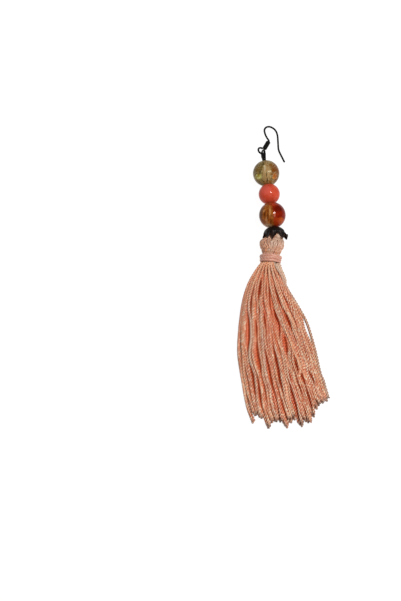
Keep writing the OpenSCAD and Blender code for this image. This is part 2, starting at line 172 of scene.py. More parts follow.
VIEW_UP = np.radians(63)
VIEW_ROUND = np.radians(6.7)
VIEW_FAR = 1000
VIEW_PLACE = (-30.6, -48.08, 0)
LENS = 161.7
DAYLIGHT = 0.12
right = np.array([np.cos(VIEW_ROUND), -np.sin(VIEW_ROUND), 0])
back = np.array([-np.sin(VIEW_ROUND) * np.cos(VIEW_UP), -np.cos(VIEW_ROUND) * np.cos(VIEW_UP),
                 np.sin(VIEW_UP)])
camera_data = bpy.data.cameras.new("camera")
camera_data.lens = LENS
camera_data.clip_start = 0.05
camera = bpy.data.objects.new("camera", camera_data)
camera_turn = np.array([right, np.cross(back, right), back]).T
camera.matrix_world = (Matrix.Translation(laid(np.array(VIEW_PLACE) + VIEW_FAR * back))
                       @ Matrix(camera_turn.tolist()).to_4x4())
bpy.context.scene.collection.objects.link(camera)
bpy.context.scene.camera = camera

bpy.context.scene.view_settings.view_transform = "Standard"
world = bpy.data.worlds.new("daylight")
world.use_nodes = True
world.node_tree.nodes["Background"].inputs["Color"].default_value = (1, 1, 1, 1)
world.node_tree.nodes["Background"].inputs["Strength"].default_value = DAYLIGHT
bpy.context.scene.world = world


def soft_lamp(name, place, size, power):
    """A square lamp of that size in millimetres, at a place, facing the earring."""
    lamp = bpy.data.lights.new(name, "AREA")
    lamp.size = size / 1000
    lamp.energy = power
    stand = bpy.data.objects.new(name, lamp)
    away = np.array(place) / np.linalg.norm(place)
    across = np.cross([0, 1, 0], away)
    across = across / np.linalg.norm(across)
    turn = np.array([across, np.cross(away, across), away]).T
    stand.matrix_world = Matrix.Translation(laid(place)) @ Matrix(turn.tolist()).to_4x4()
    bpy.context.scene.collection.objects.link(stand)


soft_lamp("window_light", (190, -120, 660), 85, 3.4)
soft_lamp("room_light", (120, -420, 560), 400, 0.5)


# Ear hook.
# One blackened steel wire, bent to a closed ring at one end, and a loop for the ear at the other.
# It hangs in the eye of the bead wire by its ring, and lies tipped over on the table.

WIRE = 0.7
WIRE_STEP = 0.11
RING_TO_TIP = [
    # straight run, turn in degrees to the left, radius of the turn
    (0, 327, 1.3), (0, -50, 0.6), (4.912, 0, 0), (0, 68, 0.6), (0, -32, 6.6), (0, -172, 2.75),
    (0, -17, 7.7), (4.5, 0, 0), (0, 26, 5.775), (4.2, 0, 0),
]
RING_START = (0.9192, 0.9192)
RING_HEADING = 135
HOOK_TURN = -0.897
HOOK_ROLL = 27.83
HOOK_LEAN = 5.5
RING_PLACE = (-0.52, 10.21, 4.6)


def bent_wire(moves, start, heading, step):
    """A flat wire's middle line, evenly spaced: a run goes straight on along the heading, and a turn's
    points are its centre plus its radius times the direction that swings round with the heading."""
    place = np.array(start, float)
    heading = np.radians(heading)
    stretches = [place[None]]
    for run, turn, radius in moves:
        share = np.linspace(0, 1, 60)[1:, None]
        if turn:
            hand = np.sign(turn)
            swung = heading + np.radians(turn) * share
            centre = place + hand * radius * np.array([-np.sin(heading), np.cos(heading)])
            stretch = centre + hand * radius * np.hstack([np.sin(swung), -np.cos(swung)])
            heading = swung[-1, 0]
        else:
            stretch = place + run * share * np.array([np.cos(heading), np.sin(heading)])
        stretches.append(stretch)
        place = stretch[-1]
    return evenly(np.vstack(stretches), step)


def evenly(line, step):
    """A line's points spaced evenly: its places read off at even steps of the length run so far."""
    run = np.append(0, np.cumsum(np.linalg.norm(np.diff(line, axis=0), axis=1)))
    marks = np.linspace(0, run[-1], int(run[-1] / step) + 1)
    return np.stack([np.interp(marks, run, line[:, axis]) for axis in range(line.shape[1])], 1)


def turned(places, axis, degrees):
    """Places turned about X, Y or Z by an angle: the two other coordinates change by its cosine and sine."""
    a, b = [(1, 2), (2, 0), (0, 1)]["XYZ".index(axis)]
    angle = np.radians(degrees)
    made = np.array(places, float)
    made[..., a] = places[..., a] * np.cos(angle) - places[..., b] * np.sin(angle)
    made[..., b] = places[..., a] * np.sin(angle) + places[..., b] * np.cos(angle)
    return made


def lay_hook(places):
    """From the hook's own plane to where it lies: turned in its plane, rolled, leaned and moved."""
    return turned(turned(turned(places, "Z", HOOK_TURN), "Y", HOOK_ROLL), "Z", HOOK_LEAN) + RING_PLACE


def heights(flat):
    """The same places with a third coordinate, which is 0."""
    return np.append(flat, np.zeros((len(flat), 1)), axis=1)


def unit(arrows):
    """Arrows one long: each is divided by its length."""
    return arrows / np.linalg.norm(arrows, axis=-1, keepdims=True)


def rings_round(line, up, radius, angles):
    """Rings of points round a line: each point is the line's place, plus its radius times the cosine of its
    angle towards the side and the sine towards the top. The side is square to the line and the up arrow."""
    ahead = unit(np.gradient(line, axis=-2))
    side = unit(np.cross(ahead, up))
    top = np.cross(side, ahead)
    radius = np.broadcast_to(radius, angles.shape)[..., None]
    angles = angles[..., None]
    return line[..., None, :] + radius * (side[..., None, :] * np.cos(angles)
                                          + top[..., None, :] * np.sin(angles))


def wire_rings(line, up, radius, sides=16):
    """A round wire with rounded tips: near an end the radius is that of a ball's slice at that distance
    from the end."""
    run = np.append(0, np.cumsum(np.linalg.norm(np.diff(line, axis=0), axis=1)))
    from_end = np.minimum(run, run[-1] - run)
    short = np.clip(1 - from_end / radius, 0, 0.995)
    angles = np.broadcast_to(np.linspace(0, 2 * np.pi, sides, endpoint=False), (len(line), sides))
    return rings_round(line, up, (radius * np.sqrt(1 - short**2))[:, None], angles)


def fans(faces):
    """The triangles of faces with equal numbers of corners: each face fans out from its first corner."""
    firsts = np.broadcast_to(faces[:, :1], faces[:, 2:].shape)
    return np.stack([firsts, faces[:, 1:-1], faces[:, 2:]], -1).reshape(-1, 3)


def make_piece(name, rings, finish, looped=False, run=None, sharp=None, marks=None):
    """A mesh from an array of tubes, stations, points round and places. Four-cornered faces join each ring
    to the next. A looped tube's last ring joins its first, and any other is closed by a flat face at each
    end. All faces are turned over where the volume that they enclose comes out below 0. With a run, a map
    has the share of a turn round each tube and the millimetres along it, and marks are numbers at points."""
    rings = np.asarray(rings, float)
    if rings.ndim == 3:
        rings = rings[None]
    tubes, stations, around = rings.shape[:3]
    corner = np.arange(tubes * stations * around).reshape(tubes, stations, around)
    next_round = np.roll(corner, -1, 2)
    if looped:
        near, far = (corner, next_round), (np.roll(corner, -1, 1), np.roll(next_round, -1, 1))
    else:
        near, far = (corner[:, :-1], next_round[:, :-1]), (corner[:, 1:], next_round[:, 1:])
    sides = np.stack([near[0], far[0], far[1], near[1]], -1).reshape(-1, 4)
    ends = np.zeros((0, around), int) if looped else np.concatenate([corner[:, 0], corner[:, -1, ::-1]])
    places = rings.reshape(-1, 3)
    tips = (places - places.mean(0))[np.concatenate([fans(sides), fans(ends)])]
    volume = np.einsum("ij,ij->", tips[:, 0], np.cross(tips[:, 1], tips[:, 2]))
    if volume < 0:
        sides, ends = sides[:, ::-1], ends[:, ::-1]
    mesh = bpy.data.meshes.new(name)
    mesh.vertices.add(len(places))
    mesh.vertices.foreach_set("co", laid(places).ravel())
    corners = np.concatenate([sides.ravel(), ends.ravel()])
    mesh.loops.add(len(corners))
    mesh.loops.foreach_set("vertex_index", corners)
    starts = np.append(np.arange(len(sides)) * 4, len(sides) * 4 + np.arange(len(ends)) * around)
    mesh.polygons.add(len(starts))
    mesh.polygons.foreach_set("loop_start", starts)
    mesh.update(calc_edges=True)
    rounded = np.append(np.ones(len(sides), bool), np.zeros(len(ends), bool))
    mesh.polygons.foreach_set("use_smooth", rounded)
    if sharp:
        mesh.set_sharp_from_angle(angle=np.radians(sharp))
    if run is not None:
        turn_share = (corners % around) / around
        side_share = turn_share[:sides.size].reshape(-1, 4)
        over_seam = side_share.max(1) - side_share.min(1) > 0.5
        turn_share[:sides.size] += np.repeat(over_seam, 4) & (turn_share[:sides.size] < 0.5)
        uv = np.stack([turn_share, np.broadcast_to(run[..., None], rings.shape[:3]).ravel()[corners]], 1)
        mesh.uv_layers.new(name="along").data.foreach_set("uv", uv.ravel())
    for mark, values in (marks or {}).items():
        spread = np.broadcast_to(values, rings.shape[:3]).astype(np.float32)
        mesh.attributes.new(mark, "FLOAT", "POINT").data.foreach_set("value", spread.ravel())
    mesh.materials.append(finish.material)
    piece = bpy.data.objects.new(name, mesh)
    bpy.context.scene.collection.objects.link(piece)
    return piece


gunmetal = Finish("gunmetal_wire")
worn = gunmetal.rise(gunmetal.noise(0.5, 4.0), 0.45, 0.75)
gunmetal.surface(
    Base_Color=gunmetal.mix(worn, shade(8, 8, 8), shade(40, 37, 34)),
    Roughness=0.6 - 0.12 * worn,
    Specular_IOR_Level=0.12,
    Normal=gunmetal.bump(gunmetal.noise(0.22, 3.0), 0.012, 0.6),
)

hook_line = heights(bent_wire(RING_TO_TIP, RING_START, RING_HEADING, WIRE_STEP))
hook = make_piece("ear_hook_wire", lay_hook(wire_rings(hook_line, [0, 0, 1.0], WIRE / 2)), gunmetal)
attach(hook, "root")
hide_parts("ear_hook")


# Coil.
# A thinner wire of the same blackened steel, wound in close turns round the shank of the hook. It starts
# just above the ring and ends where the shank bends.

COIL_WIRE = 0.4
COIL_RADIUS = 0.66
COIL_START = 1.72
COIL_PITCH = 0.4116
COIL_TURNS = 11
SHANK_SIDE = 0.6213
SHANK_HEADING = 52
TURN_STATIONS = 30

coil_share = np.linspace(0, 1, COIL_TURNS * TURN_STATIONS)
coil_angle = 2 * np.pi * (COIL_TURNS - 1) * coil_share
coil_line = np.stack([
    COIL_START + COIL_WIRE / 2 + (COIL_PITCH * COIL_TURNS - COIL_WIRE) * coil_share,
    COIL_RADIUS * np.cos(coil_angle) - SHANK_SIDE,
    COIL_RADIUS * np.sin(coil_angle),
], 1)
coil_rings = wire_rings(coil_line, [1.0, 0, 0], COIL_WIRE / 2, sides=12)
coil = make_piece("wound_coil", lay_hook(turned(coil_rings, "Z", SHANK_HEADING)), gunmetal)
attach(coil, "root")
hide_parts("hook_coil")


# Bead wire.
# A soft blackened wire folded double. The fold is the teardrop eye that holds the hook's ring, bound below
# with a finer wire, and both legs run on together through the beads and the cap, out of sight.

BEAD_AXIS = 5
EYE_WIRE = 0.68
EYE_LEG = 4.143
EYE_BEND = 211.02
EYE_RADIUS = 1.15
EYE_ROOT = 4.5
EYE_HALF_ANGLE = 15.512
EYE_ROLL = HOOK_ROLL - 90
PIN_END = -27.415
PIN_START = 5.125
PIN_WIRE = 0.58

eye_moves = [(EYE_LEG, 0, 0), (0, EYE_BEND, EYE_RADIUS), (EYE_LEG, 0, 0)]
eye_flat = heights(bent_wire(eye_moves, (0, 0), 90 - EYE_HALF_ANGLE, WIRE_STEP))
eye_line = turned(eye_flat + [0, EYE_ROOT, 0], "Y", EYE_ROLL)
eye_up = turned(np.array([0, 0, 1.0]), "Y", EYE_ROLL)
eye = make_piece("bead_wire_eye", wire_rings(eye_line, eye_up, EYE_WIRE / 2) + [0, 0, BEAD_AXIS], gunmetal)
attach(eye, "root")
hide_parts("bead_wire")

BINDING_WIRE = 0.24
BINDING_TURNS = 11
BINDING_START = 5.3
BINDING_PITCH = 0.255

binding_share = np.linspace(0, 1, BINDING_TURNS * TURN_STATIONS)
binding_angle = 2 * np.pi * BINDING_TURNS * binding_share
binding_along = BINDING_START + BINDING_PITCH * BINDING_TURNS * binding_share
legs_apart = (binding_along - EYE_ROOT) * np.tan(np.radians(EYE_HALF_ANGLE))
binding_radius = (EYE_WIRE + BINDING_WIRE) / 2
binding_line = np.stack([
    (legs_apart + binding_radius) * np.cos(binding_angle),
    binding_along,
    binding_radius * np.sin(binding_angle),
], 1)
binding_rings = turned(wire_rings(binding_line, [0, 1.0, 0], BINDING_WIRE / 2, sides=10), "Y", EYE_ROLL)
binding = make_piece("bead_wire_binding", binding_rings + [0, 0, BEAD_AXIS], gunmetal)
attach(binding, "root")

pin_line = np.linspace([0, PIN_START, BEAD_AXIS], [0, PIN_END, BEAD_AXIS], 200)
pin_legs = np.stack([wire_rings(pin_line + [side * PIN_WIRE / 2, 0, 0], [0, 0, 1.0], PIN_WIRE / 2)
                     for side in (-1, 1)])
pin = make_piece("bead_wire_legs", pin_legs, gunmetal)
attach(pin, "root")


# Beads.
# Three round beads, each drilled through and rounded at the mouths of its hole. The first and the last are
# crackled glass, cracked by heat and dyed, and the one between them is polished coral.

HOLE = 1.3
MOUTH_ROUND = 0.25
BEAD_SIDES = 96


def bead_rings(size, middle):
    """A drilled ball as one looped profile turned about its hole. The profile runs over the ball from one
    mouth to the other and back along the hole, and at a mouth it follows a quarter of a small circle."""
    mouth = np.arcsin((HOLE / 2 + MOUTH_ROUND) / (size / 2))
    over = np.linspace(mouth, np.pi - mouth, 80)
    outside = np.stack([size / 2 * np.sin(over), size / 2 * np.cos(over)], 1)
    edge = outside[0, 1]
    bend = np.linspace(0, np.pi / 2, 6)
    lip = np.stack([HOLE / 2 + MOUTH_ROUND * (1 - np.sin(bend[::-1])),
                    edge - MOUTH_ROUND * (1 - np.cos(bend[::-1]))], 1)
    deep = np.linspace(2 * MOUTH_ROUND - edge, edge - 2 * MOUTH_ROUND, 30)
    bore = np.stack([np.full_like(deep, HOLE / 2), deep], 1)
    profile = np.concatenate([outside, lip[::-1][1:] * [1, -1], bore, lip[:-1]])
    angles = np.linspace(0, 2 * np.pi, BEAD_SIDES, endpoint=False)
    return np.stack([
        profile[:, :1] * np.cos(angles),
        middle + np.broadcast_to(profile[:, 1:], (len(profile), BEAD_SIDES)),
        BEAD_AXIS + profile[:, :1] * np.sin(angles),
    ], -1)


def crackle(finish, size, spread=0.5):
    """Cracks between cells of about that many millimetres, 1 on a crack and 0 inside a cell. The places are
    first pushed about by a noise, so that the cracks wander."""
    wander = finish.node("ShaderNodeTexNoise", {},
                         {"Vector": finish.places(), "Scale": 700 / size, "Detail": 2.0}, "Color")
    pushed = finish.node("ShaderNodeVectorMath", {"operation": "MULTIPLY_ADD"},
                         {0: wander, 1: [size * spread / 1000] * 3, 2: finish.places()})
    edge = finish.node("ShaderNodeTexVoronoi", {"feature": "DISTANCE_TO_EDGE"},
                       {"Vector": pushed, "Scale": 1000 / size})
    return 1.0 - finish.rise(edge, 0.0, 0.13)


def line_place(finish, axis, middle):
    """Millimetres from the middle of a bead, along X, Y or Z."""
    part = finish.node("ShaderNodeSeparateXYZ", {}, {0: finish.places()}, "XYZ".index(axis))
    return (part - (middle / 1000 + line_start["XYZ".index(axis)])) * 1000.0


SEEN_RIGHT = (0.993, -0.117, 0)
SEEN_UP = (0.104, 0.885, 0.454)


def blot(finish, middle, right, up, wide, high, ragged=0.5):
    """A ragged patch on the upper side of a bead, 1 in its middle and 0 outside. It is given in millimetres
    from the bead's middle to the right and up the slope of the bead, with its half width and half height."""
    from_middle = finish.node("ShaderNodeVectorMath", {"operation": "SUBTRACT"},
                              {0: finish.places(), 1: laid([0, middle, BEAD_AXIS]).tolist()})
    across = finish.node("ShaderNodeVectorMath", {"operation": "DOT_PRODUCT"},
                         {0: from_middle, 1: SEEN_RIGHT}, "Value") * 1000.0 - right
    along = finish.node("ShaderNodeVectorMath", {"operation": "DOT_PRODUCT"},
                        {0: from_middle, 1: SEEN_UP}, "Value") * 1000.0 - up
    away = (across * (1 / wide)) * (across * (1 / wide)) + (along * (1 / high)) * (along * (1 / high))
    return 1.0 - finish.rise(away + ragged * (3.0 * finish.noise(0.8, 3.0) - 1.5), 0.3, 1.4)


def blotted(finish, middle, colour, blots):
    """A colour with blots laid over it in turn, each with its colour, how strong it is, and its patch."""
    for blot_colour, strength, patch in blots:
        colour = finish.mix(strength * blot(finish, middle, *patch), colour, blot_colour)
    return colour


YELLOW_MIDDLE = 0
yellow_glass = Finish("olive_crackled_glass")
y_fine = crackle(yellow_glass, 0.8)
y_cloud = yellow_glass.noise(1.1, 4.0)
y_colour = yellow_glass.mix(yellow_glass.rise(y_cloud, 0.35, 0.7), shade(100, 76, 30), shade(160, 134, 78))
y_colour = blotted(yellow_glass, YELLOW_MIDDLE, y_colour, (
    # colour, strength, and the patch: to the right, up, half width and half height
    (shade(182, 144, 94), 0.8, (0.1, 0.4, 1.6, 4.0)),
    (shade(132, 84, 30), 0.7, (1.4, 2.9, 1.5, 1.2)),
    (shade(104, 74, 24), 0.7, (-2.2, 2.6, 1.0, 0.9)),
    (shade(122, 62, 8), 0.95, (3.4, 0.6, 1.8, 3.6)),
    (shade(176, 88, 12), 0.8, (3.2, -1.2, 0.9, 1.2)),
    (shade(168, 148, 40), 0.8, (-3.1, -1.5, 1.3, 1.0)),
    (shade(206, 200, 120), 0.7, (-2.2, -1.3, 0.4, 0.9)),
    (shade(212, 204, 140), 0.7, (-3.3, -2.0, 0.3, 0.5)),
    (shade(128, 96, 40), 0.7, (-3.2, 1.7, 1.4, 1.3)),
    (shade(202, 184, 150), 0.7, (-0.6, 1.6, 0.4, 1.4)),
    (shade(150, 96, 34), 0.8, (1.0, -3.6, 2.2, 0.8)),
    # painted highlight: the lamp's small cream highlight, just right of the middle of the bead
    (shade(240, 216, 170), 0.9, (1.35, 0.55, 0.32, 0.36)),
    (shade(226, 200, 150), 0.8, (-0.9, 2.7, 0.5, 0.35)),
    # painted glints: two small pale yellow sparkles at the lower left
    (shade(232, 226, 150), 0.9, (-3.6, -0.8, 0.28, 0.3)),
    (shade(228, 224, 140), 0.8, (-2.7, -1.9, 0.25, 0.4)),
    (shade(214, 132, 30), 0.8, (2.6, -1.9, 0.5, 0.4)),
))
y_cracked = y_fine * yellow_glass.rise(yellow_glass.noise(1.4), 0.4, 0.6) * 0.6
y_colour = yellow_glass.mix(y_cracked, y_colour, shade(206, 194, 150))
y_colour = blotted(yellow_glass, YELLOW_MIDDLE, y_colour, (
    (shade(66, 56, 20), 0.8, (0.05, -0.6, 0.22, 1.1)),
    (shade(66, 56, 20), 0.8, (0.3, -2.7, 0.3, 0.9)),
    (shade(66, 56, 20), 0.8, (-1.2, 3.2, 0.5, 0.6)),
    (shade(66, 56, 20), 0.8, (-2.3, 0.3, 0.3, 0.8)),
))
yellow_glass.surface(
    Base_Color=y_colour,
    Roughness=0.09,
    IOR=1.18,
    Normal=yellow_glass.bump(y_fine, 0.02, 0.25),
)

CORAL_MIDDLE = -9.08
coral_stone = Finish("polished_coral")
c_cloud = coral_stone.noise(1.8, 4.0)
c_lines = coral_stone.noise(0.5, 3.0, None, (3, 1, 3))
c_colour = coral_stone.mix(coral_stone.rise(c_cloud, 0.35, 0.7), shade(204, 70, 46), shade(222, 92, 64))
c_colour = blotted(coral_stone, CORAL_MIDDLE, c_colour, (
    (shade(226, 98, 84), 0.7, (-1.3, 1.4, 2.2, 1.8)),
    (shade(196, 66, 40), 0.6, (0.6, -2.8, 2.6, 1.4)),
))
coral_stone.surface(
    Base_Color=coral_stone.mix(coral_stone.rise(c_lines, 0.5, 0.8) * 0.3, c_colour, shade(178, 52, 36)),
    Roughness=0.12,
    IOR=1.22,
)

AMBER_MIDDLE = -18.16
amber_glass = Finish("amber_crackled_glass")
a_side = line_place(amber_glass, "X", 0) + 0.9 * (amber_glass.noise(1.6, 3.0) - 0.5)
a_right = amber_glass.rise(a_side, -0.25, 0.2)
a_fine = crackle(amber_glass, 0.9, 0.8)
a_cloud = amber_glass.noise(1.2, 4.0)
a_amber = amber_glass.mix(amber_glass.rise(a_cloud, 0.35, 0.68), shade(130, 58, 12), shade(186, 108, 42))
a_red = amber_glass.mix(amber_glass.rise(a_cloud, 0.4, 0.75), shade(124, 24, 6), shade(158, 40, 12))
a_colour = blotted(amber_glass, AMBER_MIDDLE, amber_glass.mix(a_right, a_amber, a_red), (
    (shade(204, 144, 84), 0.85, (-1.0, 1.3, 0.4, 2.0)),
    (shade(200, 140, 92), 0.75, (-2.3, -2.0, 0.4, 1.5)),
    (shade(204, 148, 96), 0.7, (-3.3, 1.6, 0.5, 0.7)),
    (shade(204, 156, 112), 0.9, (-1.6, -4.0, 1.7, 0.9)),
    (shade(92, 40, 12), 0.85, (-1.8, -0.3, 0.3, 1.5)),
    (shade(98, 46, 14), 0.8, (-2.9, 0.4, 0.35, 1.2)),
    (shade(104, 50, 18), 0.8, (-0.7, -2.3, 0.25, 1.3)),
    (shade(188, 78, 22), 0.9, (3.2, -2.2, 1.3, 1.4)),
    (shade(168, 56, 18), 0.8, (1.4, -2.4, 1.2, 1.7)),
    (shade(210, 112, 80), 0.7, (0.7, 0.2, 0.4, 1.1)),
    # painted reflection: the coral bead above, seen in the top of this bead
    (shade(190, 66, 36), 0.8, (0.0, 4.0, 1.4, 0.7)),
    (shade(84, 12, 4), 0.7, (2.4, 2.4, 1.6, 1.2)),
    # painted shade: a brown darkening along the left rim
    (shade(104, 64, 30), 0.8, (-4.4, 0.4, 0.7, 2.4)),
))
amber_glass.surface(
    Base_Color=amber_glass.mix(a_fine * (0.5 - 0.4 * a_right), a_colour, shade(84, 38, 8)),
    Roughness=0.09,
    IOR=1.18,
    Normal=amber_glass.bump(a_fine, 0.02, 0.25),
)

for bead, size, middle, glass in (
    ("bead_yellow", 10, YELLOW_MIDDLE, yellow_glass),
    ("bead_coral", 8, CORAL_MIDDLE, coral_stone),
    ("bead_amber", 10, AMBER_MIDDLE, amber_glass),
):
    drilled = make_piece(bead + "_drilled", bead_rings(size, middle), glass, looped=True, sharp=60)
    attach(drilled, "root")
    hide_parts(bead)


# Cap.
# A thin stamped dome of blackened brass over the top of the tassel. Its wall parts into nine pointed petals,
# each with a raised rib and rim, and some have been bent outward.

CAP_TOP = -23.335
CAP_LENGTH = 5.1
CAP_RADIUS = 4.05
CAP_WALL = 0.35
CAP_DROOP = 11
CAP_SWING = 5
PETALS = 9
FIRST_PETAL = 20
SHOULDER = 0.28
PETAL_ROOT = 0.46
PETAL_NOTCH = 0.72
PETAL_POINT = 1.4
RIB_HIGH = 0.10
SEAM_DEEP = 0.16
# half widths, as shares of half a petal or of the length, and shares of the length where they start and end
RIB_WIDE = 0.10
RIM_WIDE = 0.10
SEAM_WIDE = 0.12
RIB_START = 0.25
SEAM_START = 0.16
SEAM_END = 0.62
CAP_PROFILE = np.array([
    # share of the length, share of the radius
    (0.00, 0.28), (0.02, 0.46), (0.12, 0.74), (0.28, 0.93), (0.46, 1.00), (0.64, 1.00), (0.82, 1.02),
    (1.00, 1.07),
])
PETAL_BENDS = np.array([
    # turn of the tip in degrees, share of the length, bend outward as a share of the radius
    (0, 0.86, 0.22), (-16, 1.02, 0.00), (3, 1.07, 0.04), (-14, 0.98, 0.08), (-4, 0.85, 0.04),
    (0, 0.84, 0.00), (0, 0.82, -0.06), (0, 0.84, 0.00), (8, 0.92, 0.10),
])


def eased(rows, column, at):
    """A smooth curve through one column of a table, read at places in its first column: a cubic between
    each two rows, with the slope at a row taken from the rows on each side of it."""
    rows = np.asarray(rows, float)
    start, value = rows[:, 0], rows[:, column]
    before = np.maximum(np.arange(len(rows)) - 1, 0)
    after = np.minimum(np.arange(len(rows)) + 1, len(rows) - 1)
    slope = (value[after] - value[before]) / (start[after] - start[before])
    i = np.clip(np.searchsorted(start, at) - 1, 0, len(rows) - 2)
    span = start[i + 1] - start[i]
    t = (at - start[i]) / span
    return ((2 * t**3 - 3 * t**2 + 1) * value[i] + (3 * t**2 - 2 * t**3) * value[i + 1]
            + span * ((t**3 - 2 * t**2 + t) * slope[i] + (t**3 - t**2) * slope[i + 1]))


def hang_cap(places):
    """From the cap's own frame, with its top at the middle, to where it hangs: drooped, swung and moved."""
    return turned(turned(places, "X", CAP_DROOP), "Z", -CAP_SWING) + [0, CAP_TOP, BEAD_AXIS]


def cap_wall(share, petal, inset, lift):
    """Places on the cap at a share of its length and a number of petals round. Below the root of the petals
    the length is cut short towards the notch between two petals, and follows each petal's own reach."""
    which = np.floor(petal).astype(int)
    phase = petal - which
    bend = np.moveaxis(PETAL_BENDS[which % PETALS] * (1 - phase)[..., None]
                       + PETAL_BENDS[(which + 1) % PETALS] * phase[..., None], -1, 0)
    fold = np.abs(2 * phase - 1)
    past = np.clip((share - PETAL_ROOT) / (1 - PETAL_ROOT), 0, None)
    flat = np.clip(1 - share / SHOULDER, 0, None)
    notched = 1 - PETAL_NOTCH * (1 - fold) ** PETAL_POINT
    cut = PETAL_ROOT + (share - PETAL_ROOT) * notched * (bend[1] - PETAL_ROOT) / (1 - PETAL_ROOT)
    reach = np.where(share <= PETAL_ROOT, share, cut)
    radius = ((np.interp(share, CAP_PROFILE[:, 0], CAP_PROFILE[:, 1]) + bend[2] * past**2) * CAP_RADIUS
              - (inset - lift) * (1 - flat))
    angle = np.radians(FIRST_PETAL + 360 * petal / PETALS + bend[0] * past)
    return np.stack([radius * np.cos(angle), -reach * CAP_LENGTH - (inset - lift) * flat,
                     radius * np.sin(angle)], -1)


cap_share = np.linspace(0, 1, 40)[:, None]
cap_petal = np.linspace(0, PETALS, PETALS * 24, endpoint=False)[None]
cap_fold = np.abs(2 * (cap_petal % 1) - 1)
cap_rib = np.exp(-(((1 - cap_fold) / RIB_WIDE) ** 2)) * np.clip((cap_share - RIB_START) / 0.2, 0, 1)
cap_rim = np.exp(-(((1 - cap_share) / RIM_WIDE) ** 2))
cap_seam = (np.exp(-((cap_fold / SEAM_WIDE) ** 2)) * np.clip((cap_share - SEAM_START) / 0.2, 0, 1)
            * np.clip((SEAM_END - cap_share) / 0.1, 0, 1))
cap_relief = RIB_HIGH * np.maximum(cap_rib, cap_rim) - SEAM_DEEP * cap_seam
cap_outer = cap_wall(cap_share, cap_petal, 0, cap_relief - RIB_HIGH / 2)
cap_inner = cap_wall(cap_share[::-1], cap_petal, CAP_WALL, 0.0)

cap_metal = Finish("blackened_brass_cap")
c_raised = cap_metal.mark("raised")
c_worn = cap_metal.rise(cap_metal.noise(0.6, 4.0), 0.45, 0.7)
cap_metal.surface(
    Base_Color=cap_metal.mix(c_raised * 0.35 + c_worn * 0.3, shade(8, 5, 4), shade(80, 50, 36)),
    Roughness=0.46 - 0.12 * c_worn,
    Specular_IOR_Level=0.22,
    Normal=cap_metal.bump(cap_metal.noise(0.3, 3.0), 0.02, 0.6),
)
cap_raised = np.concatenate([np.clip(cap_relief / RIB_HIGH, 0, 1), np.zeros_like(cap_relief)])
cap_rings = hang_cap(np.concatenate([cap_outer, cap_inner]))
cap = make_piece("petal_cap", cap_rings, cap_metal, looped=True, sharp=50, marks={"raised": cap_raised})
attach(cap, "root")
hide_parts("bead_cap")


# Head of the tassel.
# Some thirty twisted viscose cords come out from under the cap, swell round a core of the same cord and are
# drawn in again by the wrap. The cords on the right are paler, and three of them cross over the others.

HEAD_LENGTH = 12.4
HEAD_WIDTH = 9.3
NECK = 6.4
NECK_LEAN = 2.9
NECK_PITCH = 16
NECK_YAW = 13.163
NECK_PLACE = np.array([-2.9, -35.735, 4.0875])
SWELL = 1.15
HEAD_ROWS = [
    # share of the length, shares of the lean and of the fall, shares of the width wide and high, tilt
    (0.10, 0.04, 0.26, 0.50, 0.50, 11), (0.22, 0.08, 0.57, 0.69, 0.69, 11),
    (0.31, 0.12, 0.80, 0.74, 0.74, 11), (0.385, 0.50, 1.05, 0.89, 0.72, 8),
    (0.48, 0.57, 1.00, 1.00, 0.78, 6), (0.58, 0.57, 0.93, 0.985, 0.86, 6),
    (0.67, 0.51, 0.93, 0.88, 0.82, 8), (0.75, 0.64, 0.95, 0.79, 0.77, 11),
]
# the neck's rings, by their distance along it from the middle of the wrap, and their size as a share
NECK_ROWS = [(-2.585, SWELL), (-1.565, 1.0), (1.485, 1.0), (2.745, 1 / SWELL)]


def neck_axis(along):
    """Places on the middle of the neck, at distances along it from the middle of the wrap."""
    pitch, yaw = np.radians(NECK_PITCH), np.radians(NECK_YAW)
    ahead = np.array([-np.sin(yaw) * np.cos(pitch), -np.cos(yaw) * np.cos(pitch), -np.sin(pitch)])
    return NECK_PLACE + np.multiply.outer(along, ahead)


head_table = [
    (share, -NECK_LEAN * lean, CAP_TOP - HEAD_LENGTH * share,
     BEAD_AXIS + (NECK_PLACE[2] - BEAD_AXIS) * sink, wide * HEAD_WIDTH / 2, high * HEAD_WIDTH / 2, tilt, 0)
    for share, lean, sink, wide, high, tilt in HEAD_ROWS
] + [
    (1 + along / HEAD_LENGTH, *neck_axis(along), size * NECK / 2, size * NECK / 2, NECK_PITCH, NECK_YAW)
    for along, size in NECK_ROWS
]


def head_place(share, angle, inset):
    """Places on the head at a share of its length and an angle round it: the middle there, plus the width
    times the cosine sideways and the height times the sine upward, leaned by the tilt and turned by the
    yaw. The inset is how far below the surface they lie."""
    x, y, z, wide, high, tilt, yaw = [eased(head_table, column, share) for column in range(1, 8)]
    tilt, yaw = np.radians(tilt), np.radians(yaw)
    out = (wide - inset) * np.cos(angle)
    rise = (high - inset) * np.sin(angle)
    return np.stack([
        x + out * np.cos(yaw) - rise * np.sin(tilt) * np.sin(yaw),
        y - out * np.sin(yaw) - rise * np.sin(tilt) * np.cos(yaw),
        z + rise * np.cos(tilt),
    ], -1)


def length_run(line):
    """How far along its line each place is."""
    steps = np.linalg.norm(np.diff(line, axis=-2), axis=-1)
    return np.concatenate([np.zeros_like(steps[..., :1]), np.cumsum(steps, -1)], -1)


def smooth(value, start, end):
    """0 below the start, 1 above the end, and a curve that is level at both between them."""
    t = np.clip((value - start) / (end - start), 0, 1)
    return t * t * (3 - 2 * t)


PLY_PITCH = 3.1
PLY_GROOVE = 0.42


